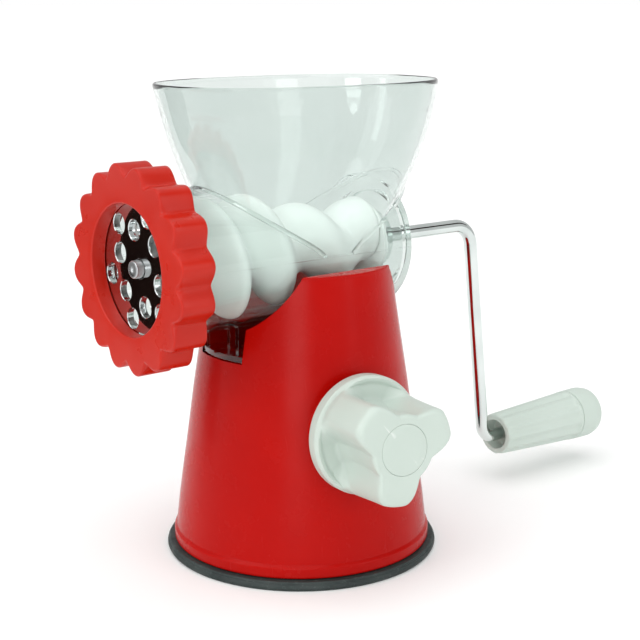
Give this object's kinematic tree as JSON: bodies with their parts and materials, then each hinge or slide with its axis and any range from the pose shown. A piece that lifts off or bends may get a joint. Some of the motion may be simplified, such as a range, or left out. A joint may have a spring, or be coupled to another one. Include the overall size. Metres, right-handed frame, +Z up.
{
  "type": "hand crank meat grinder",
  "caption": "Manual meat grinder with a clear oval hopper, red scalloped outlet ring, rear crank and a red conical base with a suction pad worked by a side knob.",
  "frame": {"origin": "centre of the flat underside of the rubber suction pad, under the base's vertical axis", "axes": "+Z up, -Y out of the meat outlet along the barrel, +Y towards the crank, +X on the knob's side"},
  "size_m": [0.1603, 0.3077, 0.2243],
  "materials": {
    "red_shell": "gloss moulded red plastic",
    "red_ring": "slightly softer gloss, orange red plastic",
    "white_plastic": "satin moulded off-white plastic",
    "clear_plastic": "clear moulded plastic with a faint green grey tint",
    "plate_steel": "polished stainless steel",
    "crank_chrome": "bright chrome plating",
    "screw_steel": "bright zinc or steel",
    "rubber": "matt dark rubber",
    "black_plastic": "matt black plastic",
    "acetal": "natural acetal"
  },
  "bodies": {
    "base": {"base_housing": "red_shell", "bottom_frame": "black_plastic", "base_screw_1": "screw_steel", "base_screw_2": "screw_steel", "base_screw_3": "screw_steel", "base_screw_4": "screw_steel", "suction_pad": "rubber", "shaft_bush": "acetal", "return_spring": "screw_steel"},
    "cam": {"cam_shaft": "screw_steel", "shaft_clip": "screw_steel", "knob": "white_plastic", "knob_screw": "screw_steel", "knob_cap": "white_plastic"},
    "puller": {"pull_rod": "acetal", "pressure_disc": "black_plastic"},
    "head": {"hopper_barrel": "clear_plastic", "thrust_washer": "acetal"},
    "plate": {"grinding_plate": "plate_steel"},
    "nut": {"ring_nut": "red_ring"},
    "crank": {"auger": "white_plastic", "auger_drive_pin": "screw_steel", "cross_blade": "plate_steel", "crank_rod": "crank_chrome", "grip_push_nut": "screw_steel"},
    "grip": {"crank_grip": "white_plastic", "grip_end_cap": "white_plastic"}
  },
  "joints": [
    {"name": "knob_turn", "type": "hinge", "parent": "base", "child": "cam", "pos_m": [0, 0, 0.067], "axis": [-0.9874, 0.1493, -0.0523], "range_deg": [0, 180]},
    {"name": "puller_lift", "type": "slide", "parent": "base", "child": "puller", "axis": [0, 0, 1], "range_m": [0, 0.00505], "deforming": ["return_spring"]},
    {"name": "head_slide", "type": "slide", "parent": "base", "child": "head", "axis": [0, -1, 0], "range_m": [0, 0.055]},
    {"name": "crank_turn", "type": "hinge", "parent": "head", "child": "crank", "pos_m": [0, 0, 0.1463], "axis": [0, -1, 0], "continuous": true},
    {"name": "grip_spin", "type": "hinge", "parent": "crank", "child": "grip", "pos_m": [0, 0.165, 0.027], "axis": [0, 1, 0], "continuous": true},
    {"name": "plate_slide", "type": "slide", "parent": "head", "child": "plate", "axis": [0, -1, 0], "range_m": [0, 0.0094]},
    {"name": "nut_turn", "type": "hinge", "parent": "plate", "child": "nut", "pos_m": [0, -0.087, 0.1463], "axis": [0, -1, 0], "range_deg": [0, 480]}
  ],
  "couplings": [
    {"joint": "puller_lift", "follows": "knob_turn", "m_per_rad": 0.0015915},
    {"joint": "plate_slide", "follows": "nut_turn", "m_per_rad": 0.0011141}
  ]
}
